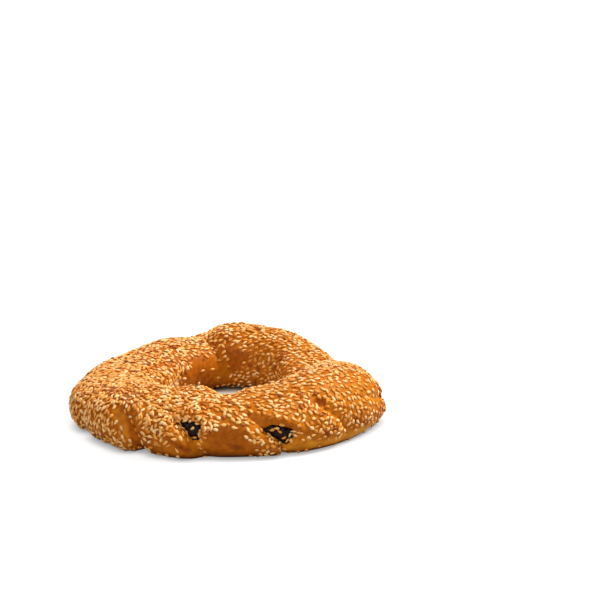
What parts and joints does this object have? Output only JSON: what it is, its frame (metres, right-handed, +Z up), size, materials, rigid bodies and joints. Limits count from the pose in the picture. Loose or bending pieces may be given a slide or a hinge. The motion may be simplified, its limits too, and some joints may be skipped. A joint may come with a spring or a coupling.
{
  "type": "simit",
  "caption": "Ring of sesame bread from a thick twisted rope of dough, flat underneath, with a chocolate core that shows at splits in the front.",
  "frame": {"origin": "on the surface the bread lies on, under the middle of its outline", "axes": "+Z up; -Y towards the front, where the filling shows; +X to the right seen from the front"},
  "size_m": [0.1656, 0.161, 0.0347],
  "materials": {
    "crust": "baked bread crust, golden brown, matt to satin, paler in the folds",
    "filling": "baked dark chocolate cream, lumpy and slightly glossy",
    "sesame": "toasted sesame seeds, cream to golden brown, satin"
  },
  "bodies": {
    "root": {"dough": "crust", "filling": "filling"}
  },
  "joints": []
}
